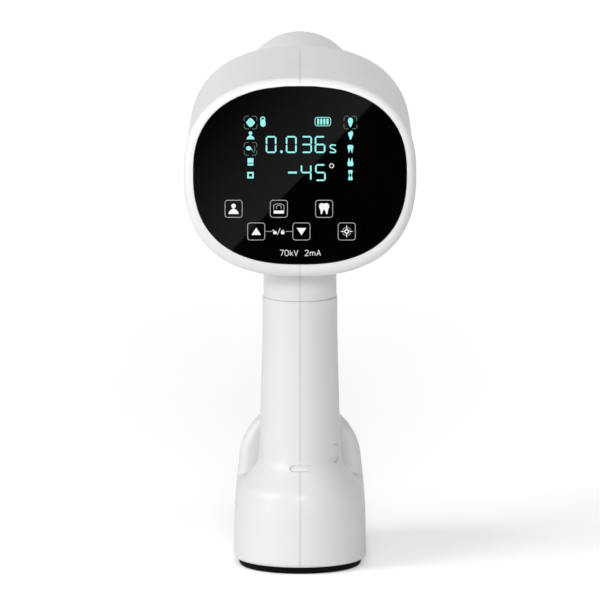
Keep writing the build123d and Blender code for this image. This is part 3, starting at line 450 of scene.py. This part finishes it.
MOLAR_CROWN = mirrored([(0, 0.46), (0.28, 0.50), (0.45, 0.36), (0.45, 0.08), (0.36, -0.08)])
MOLAR_ROOT = [(0.05, -0.08), (0.36, -0.08), (0.30, -0.48), (0.20, -0.50)]
PEAR = mirrored([(0, 0.5), (0.2, 0.46), (0.33, 0.28), (0.34, 0.08), (0.24, -0.18), (0.1, -0.46),
                 (0, -0.5)])
CANINE = [(0.12, 0.5), (0.32, 0.42), (0.38, 0.12), (0.24, -0.16), (0.06, -0.5), (-0.08, -0.46),
          (-0.2, -0.12), (-0.34, 0.14), (-0.26, 0.34), (-0.06, 0.38)]


def molar(marks, centre, size, turn=1, narrow=1.0):
    """A filled tooth with two roots; turn of -1 stands it on its crown."""
    shape(marks, centre, size, [(u, w * turn) for u, w in MOLAR_CROWN], narrow)
    for side in (-1, 1):
        shape(marks, centre, size, [(u * side, w * turn) for u, w in MOLAR_ROOT], narrow)


def person(marks, centre, size):
    """Head and shoulders, filled."""
    u, w = centre
    marks.disc((u, w + size * 0.25), size * 0.2)
    marks.box((u, w + size * 0.02), size * 0.14, size * 0.2)
    shape(marks, centre, size, mirrored([(0, 0.0), (0.14, -0.02), (0.36, -0.2), (0.46, -0.45)]))


CORNERS_SIZE = 6.9
CORNERS_ROUND = 0.8
CORNERS_OPEN = 0.9                   # half the break in the middle of each side
CORNERS_STROKE = 0.26


def corners(marks, centre):
    """A frame broken in the middle of each side, as drawn round a chosen mode."""
    reach = CORNERS_SIZE / 2
    inner = reach - CORNERS_ROUND
    for sx in (-1, 1):
        for sy in (-1, 1):
            points = [(CORNERS_OPEN, reach), (inner, reach), (reach, inner), (reach, CORNERS_OPEN)]
            marks.line([(centre[0] + sx * u, centre[1] + sy * w) for u, w in points],
                       CORNERS_STROKE)


ICON_SIDE = 26.9                     # the two icon columns stand this far from the middle
ICON_TOP = 26.6
ICON_PITCH = 7.15
TOOTH_WIDTH = 0.78                   # the small teeth are drawn this much narrower
DIGIT_STROKE = 0.86
TIME_BASE = 10.0
TIME_HEIGHT = 9.3
TIME_DIGITS = (("0", -18.6, 5.8), ("0", -7.7, 5.9), ("3", 0.7, 5.8), ("6", 8.0, 5.8))
ANGLE_BASE = -5.2
ANGLE_HEIGHT = 9.2
ANGLE_DIGITS = (("4", 0.4, 5.9), ("5", 8.2, 5.8))
SECONDS_SIGN = [(19.4, 14.0), (18.8, 14.4), (16.9, 14.4), (16.3, 13.7), (16.8, 12.7), (18.8, 11.9),
                (19.4, 11.0), (18.8, 10.3), (16.9, 10.3), (16.2, 10.8)]
CHARGE_BARS = 4
CHARGE_FIRST = 9.9
CHARGE_PITCH = 1.68
CHARGE_W = 27.1


def read_out(marks, plain):
    """The exposure time, the head's angle and the battery's charge."""
    for sign, left, width in TIME_DIGITS:
        digit(marks, sign, left, TIME_BASE, width, TIME_HEIGHT, DIGIT_STROKE)
    marks.disc((-10.1, TIME_BASE + 0.75), 0.75)
    marks.line(SECONDS_SIGN, 0.7)
    marks.box((-4.1, -0.6), 4.8, 1.05)
    for sign, left, width in ANGLE_DIGITS:
        digit(marks, sign, left, ANGLE_BASE, width, ANGLE_HEIGHT, DIGIT_STROKE)
    plain.arc((17.2, 3.1), 1.1, 0.42)
    marks.frame((12.4, CHARGE_W), 8.4, 4.6, 1.2, 0.36)
    for step in range(CHARGE_BARS):
        marks.box((CHARGE_FIRST + CHARGE_PITCH * step, CHARGE_W), 1.1, 3.2)


DIAMOND = mirrored([(0, 0.5), (0.22, 0.36), (0.5, 0), (0.22, -0.36), (0, -0.5)])


def left_icons(marks, dim):
    """Modes: filled diamond, handpiece, person, probe, sensor and plate."""
    top = ICON_TOP
    corners(dim, (-ICON_SIDE, top))
    shape(marks, (-ICON_SIDE, top), 5.0, DIAMOND)
    dim.arc((-ICON_SIDE, top), 0.9, 0.2)
    u, w = -20.2, CHARGE_W
    marks.disc((u + 0.1, w - 1.2), 1.45, 1.1)
    marks.plate([(u - 1.35, w - 1.2), (u + 1.55, w - 1.2),
                 (u + 1.15, w + 1.2), (u - 1.25, w + 1.2)])
    marks.arc((u - 0.05, w + 1.4), 1.1, 0.55)
    person(marks, (-ICON_SIDE, top - ICON_PITCH + 0.2), 4.8)
    u, w = -ICON_SIDE, top - 2 * ICON_PITCH
    corners(dim, (u, w))
    marks.disc((u - 1.0, w + 0.3), 1.35, 0.85)
    marks.line([(u + 0.2, w + 0.1), (u + 1.0, w - 0.8)], 0.4)
    dim.line([(u + 2.0, w + 1.9), (u + 2.5, w - 0.4), (u + 1.9, w - 1.9), (u + 1.2, w - 1.3)], 0.34)
    w = top - 3 * ICON_PITCH + 0.1
    marks.box((u, w + 0.75), 3.2, 2.5)
    marks.box((u, w - 1.5), 3.2, 1.1)
    w = top - 4 * ICON_PITCH
    for side in (-1, 1):
        marks.box((u + side * 1.3, w), 0.9, 3.5)
        marks.box((u, w + side * 1.3), 1.8, 0.9)


def right_icons(marks, dim):
    """The tooth that is to be exposed, from front tooth to molar and bitewing."""
    u = ICON_SIDE + 0.5
    corners(dim, (u, ICON_TOP))
    shape(marks, (u, ICON_TOP + 0.1), 5.1, PEAR, TOOTH_WIDTH)
    shape(marks, (u, ICON_TOP - ICON_PITCH + 0.2), 4.9, CANINE, TOOTH_WIDTH)
    molar(marks, (u, ICON_TOP - 2 * ICON_PITCH), 4.4, narrow=TOOTH_WIDTH)
    molar(marks, (u, ICON_TOP - 3 * ICON_PITCH - 0.1), 4.5, -1, TOOTH_WIDTH)
    for side in (-1, 1):
        molar(marks, (u, ICON_TOP - 4 * ICON_PITCH + side * 1.45), 2.7, side)


KEY_SIDE = 9.3
KEY_ROUND = 1.4
KEY_STROKE = 0.36
SYMBOL_STROKE = 0.34
LINK_STROKE = 0.28                   # the line between the two arrow keys
KEY_PITCH = 24.6
KEY_ROWS = ((-36.1, -20.3), (-23.8, -32.6))    # the first key of each row


def padlock(marks, centre, open_side):
    """A small filled lock, its bow over the middle or swung to one side."""
    u, w = centre
    marks.box((u, w - 0.7), 1.8, 1.5)
    marks.arc((u + open_side, w + 0.1), 0.62, 0.3, 0, 180)


def cross_hairs(marks, dim, centre):
    """A broken ring, four rays and a small open diamond in the middle."""
    middle = Vector(centre)
    for step in range(4):
        start = 90 * step
        dim.arc(centre, 2.3, 0.3, start + 16, start + 74)
        a = math.radians(start)
        along = Vector((math.cos(a), math.sin(a)))
        across = Vector((-along.y, along.x))
        marks.plate([middle + along * 3.7, middle + along * 1.7 + across * 0.34,
                     middle + along * 1.7 - across * 0.34])
        marks.line([middle + along * 1.3, middle + across * 1.3], 0.62)


def touch_keys(marks, dim):
    """Six printed keys, the lock between two of them, and the tube's rating."""
    keys = [(left + KEY_PITCH * step, w) for left, w in KEY_ROWS for step in range(3)]
    for place in keys:
        dim.frame(place, KEY_SIDE, KEY_SIDE, KEY_ROUND, KEY_STROKE)
    person(marks, keys[0], 6.2)
    u, w = keys[1]
    dim.line([(u - 2.8, w - 0.7), (u - 2.8, w + 1.9), (u - 1.2, w + 2.7), (u + 1.2, w + 2.7),
              (u + 2.8, w + 1.9), (u + 2.8, w - 0.7)], SYMBOL_STROKE)
    dim.arc((u, w + 0.7), 1.3, SYMBOL_STROKE, -35, 215)
    marks.box((u, w - 1.75), 5.6, 1.7)
    molar(marks, (keys[2][0], keys[2][1] + 0.1), 6.0)
    u, w = keys[3]
    marks.plate([(u - 2.6, w - 1.9), (u + 2.6, w - 1.9), (u, w + 2.1)])
    u, w = keys[4]
    marks.plate([(u - 2.6, w + 1.9), (u, w - 2.1), (u + 2.6, w + 1.9)])
    cross_hairs(marks, dim, keys[5])
    middle = keys[3][0] + KEY_PITCH / 2
    beside_key = KEY_PITCH / 2 - KEY_SIDE / 2 - 0.2
    for side in (-1, 1):
        dim.line([(middle + side * beside_key, w), (middle + side * 3.8, w)], LINK_STROKE)
        padlock(marks, (middle + side * 2.1, w), -0.9 if side < 0 else 0)
    marks.line([(middle - 0.7, w - 1.8), (middle + 0.7, w + 1.8)], 0.3)
    rating(marks)


# Letters and figures of the rating, as strokes in parts of their height.
LETTERS = {
    "7": [[(0, 1), (0.62, 1), (0.25, 0)]],
    "0": [[(0.15, 0), (0, 0.2), (0, 0.8), (0.15, 1), (0.47, 1), (0.62, 0.8), (0.62, 0.2),
           (0.47, 0), (0.15, 0)]],
    "k": [[(0, 0), (0, 1)], [(0.5, 0.66), (0.02, 0.28)], [(0.18, 0.4), (0.52, 0)]],
    "V": [[(0, 1), (0.34, 0), (0.68, 1)]],
    "2": [[(0, 0.8), (0.15, 1), (0.45, 1), (0.6, 0.8), (0.55, 0.55), (0, 0), (0.62, 0)]],
    "m": [[(0, 0), (0, 0.66)], [(0, 0.5), (0.15, 0.66), (0.35, 0.66), (0.45, 0.5), (0.45, 0)],
          [(0.45, 0.5), (0.6, 0.66), (0.78, 0.66), (0.9, 0.5), (0.9, 0)]],
    "A": [[(0, 0), (0.35, 1), (0.7, 0)], [(0.14, 0.34), (0.56, 0.34)]],
}
LETTER_STEP = {"7": 0.9, "0": 0.95, "k": 0.72, "V": 1.1, "2": 0.93, "m": 1.2, "A": 0.9}


RATING_LEFT = -10.9
RATING_BASE = -45.8
RATING_HEIGHT = 3.0
RATING_STROKE = 0.31
RATING_SPACE = 2.6                   # between the voltage and the current


def rating(marks):
    """The tube's voltage and current: plain numbers with their units."""
    u = RATING_LEFT
    for word in ("70kV", "2mA"):
        for letter in word:
            for stroke in LETTERS[letter]:
                marks.line([(u + a * RATING_HEIGHT, RATING_BASE + b * RATING_HEIGHT)
                            for a, b in stroke], RATING_STROKE)
            u += LETTER_STEP[letter] * RATING_HEIGHT
        u += RATING_SPACE


def screen_marks():
    """Everything that is lit or printed on the glass, as four pieces."""
    cyan = lit_marks("display_light", colour=(0.29, 0.88, 0.84), low=0.88, high=1.12)
    faint = lit_marks("display_frame_light", colour=(0.09, 0.15, 0.15), low=0.8, high=1.1)
    white = lit_marks("key_light", colour=(0.88, 0.88, 0.88), low=0.9, high=1.05)
    grey = surface("key_print", colour=(0.36, 0.365, 0.37), roughness=0.5, change=0.06,
                   patch=300.0, grain=3000.0, bump=0.1)
    lit = Marks("display_readout", cyan, "black_glass")
    frames = Marks("display_icon_frames", faint, "black_glass")
    keys = Marks("touch_key_symbols", white, "black_glass")
    outlines = Marks("touch_key_outlines", grey, "black_glass")
    left_icons(lit, frames)
    right_icons(lit, frames)
    read_out(lit, keys)
    touch_keys(keys, outlines)
    for marks in (lit, frames, keys, outlines):
        marks.done()


# ------------------------------------------------------------ studio
def soft_light(name, source, brightness, width):
    """A very large, far softbox in a direction; width is the angle that it fills."""
    data = bpy.data.lights.new(name, "SUN")
    data.energy = math.pi * brightness
    data.angle = math.radians(width)
    made = bpy.data.objects.new(name, data)
    made.location = source
    made.rotation_mode = "QUATERNION"
    made.rotation_quaternion = Vector(source).to_track_quat("Z", "Y")
    bpy.context.scene.collection.objects.link(made)


BACKDROP = 1.0
WORLD_LIGHT = 0.15                   # the white surroundings as a source of light
FLOOR_GLOW = 0.35                    # lifts the floor to the backdrop's white
FLOOR_LIGHT = 0.16                   # how much of that falls on the object
FLOOR_REACH = 30.0
FLOOR_GAP = 0.0001                   # the floor lies this far below the foot


def studio_world():
    """White surroundings, dimmer as a light source than as a backdrop."""
    world = bpy.data.worlds.new("studio")
    world.use_nodes = True
    tree = world.node_tree
    ground = tree.nodes["Background"]
    ground.inputs["Color"].default_value = (1, 1, 1, 1)
    path = tree.nodes.new("ShaderNodeLightPath")
    strength = ranged(tree, path.outputs["Is Diffuse Ray"], 0.0, 1.0, BACKDROP, WORLD_LIGHT)
    tree.links.new(strength, ground.inputs["Strength"])
    bpy.context.scene.world = world


def square(name, reach, material):
    """A flat square, as far as reach to each side of its middle."""
    data = bpy.data.meshes.new(name)
    data.from_pydata([(-reach, -reach, 0), (reach, -reach, 0), (reach, reach, 0),
                      (-reach, reach, 0)], [], [(0, 1, 2, 3)])
    data.materials.append(material)
    made = bpy.data.objects.new(name, data)
    bpy.context.scene.collection.objects.link(made)
    return made


def floor():
    """Pale paper that glows a little, so that it meets the backdrop without an edge."""
    made, tree, shader = start_material("floor_paper")
    tone = blend_colours(tree, place_noise(tree, 3.0, 2.0), (0.90, 0.90, 0.90), (0.93, 0.93, 0.93))
    tree.links.new(tone, shader.inputs["Base Color"])
    shader.inputs["Roughness"].default_value = 1.0
    shader.inputs["Specular IOR Level"].default_value = 0.0
    shader.inputs["Emission Color"].default_value = (1, 1, 1, 1)
    path = tree.nodes.new("ShaderNodeLightPath")
    glow = ranged(tree, path.outputs["Is Camera Ray"], 0.0, 1.0, FLOOR_LIGHT, FLOOR_GLOW)
    tree.links.new(glow, shader.inputs["Emission Strength"])
    plane = square("floor", FLOOR_REACH, made)
    plane.location.z = cad_bounds[0].z - FLOOR_GAP


CARD_DISTANCE = 1.4                  # from the glass
CARD_REACH = 0.3
CARD_GLOW = 0.30                     # brightest at the diagonal edge
CARD_FADE = 0.060                    # and black this far from it, as seen on the glass
CARD_EDGE = 0.0016                   # the edge passes this far from the glass's middle
CARD_EDGE_BLUR = 0.0006
CARD_EDGE_ANGLE = math.radians(46.2)


def reflector():
    """A black card with one pale half, seen only as the diagonal reflection in the glass."""
    spread_out = (CAMERA_DISTANCE + CARD_DISTANCE) / CAMERA_DISTANCE
    made = bpy.data.materials.new("reflector")
    made.use_nodes = True
    tree = made.node_tree
    tree.nodes.clear()
    across_edge = (-math.sin(CARD_EDGE_ANGLE), math.cos(CARD_EDGE_ANGLE), 0)
    from_edge = distance_along(tree, across_edge)
    edge = CARD_EDGE * spread_out
    fading = ranged(tree, from_edge, edge, edge + CARD_FADE * spread_out, CARD_GLOW, 0.0)
    beyond = ranged(tree, from_edge, edge - CARD_EDGE_BLUR, edge + CARD_EDGE_BLUR)
    light = tree.nodes.new("ShaderNodeEmission")
    out = tree.nodes.new("ShaderNodeOutputMaterial")
    tree.links.new(product(tree, fading, beyond), light.inputs["Strength"])
    tree.links.new(light.outputs["Emission"], out.inputs["Surface"])
    card = square("reflector", CARD_REACH, made)
    rise = 2 * SCREEN_TILT - CAMERA_ELEVATION
    toward = Vector((0, -math.cos(rise), math.sin(rise)))
    up = toward.cross(SIDE)
    turn = Matrix((SIDE, up, SIDE.cross(up))).transposed().to_4x4()
    card.matrix_world = Matrix.Translation(FRONT + toward * CARD_DISTANCE) @ turn
    card.visible_camera = False
    card.visible_diffuse = False
    card.visible_shadow = False
    card.visible_transmission = False


SENSOR_WIDTH = 36.0


def camera():
    data = bpy.data.cameras.new("camera")
    data.sensor_width = SENSOR_WIDTH
    data.lens = SENSOR_WIDTH * CAMERA_DISTANCE / PICTURE_WIDTH
    data.clip_start = 1.0
    data.clip_end = 100.0
    made = bpy.data.objects.new("camera", data)
    back = Vector((0, -math.cos(CAMERA_ELEVATION), math.sin(CAMERA_ELEVATION)))
    made.location = Vector((0, 0, CAMERA_AIM_Z)) + back * CAMERA_DISTANCE
    made.rotation_mode = "QUATERNION"
    made.rotation_quaternion = (-back).to_track_quat("-Z", "Y")
    bpy.context.scene.collection.objects.link(made)
    bpy.context.scene.camera = made


finish_nodes()
screen_marks()
studio_world()
floor()
reflector()
soft_light("key", source=(-2.4, -1.5, 1.35), brightness=0.43, width=34)
soft_light("top", source=(-0.2, -0.3, 2.2), brightness=0.27, width=60)
soft_light("front", source=(0.0, -1.9, 0.8), brightness=0.32, width=18)
camera()
bpy.context.scene.view_settings.view_transform = "Standard"
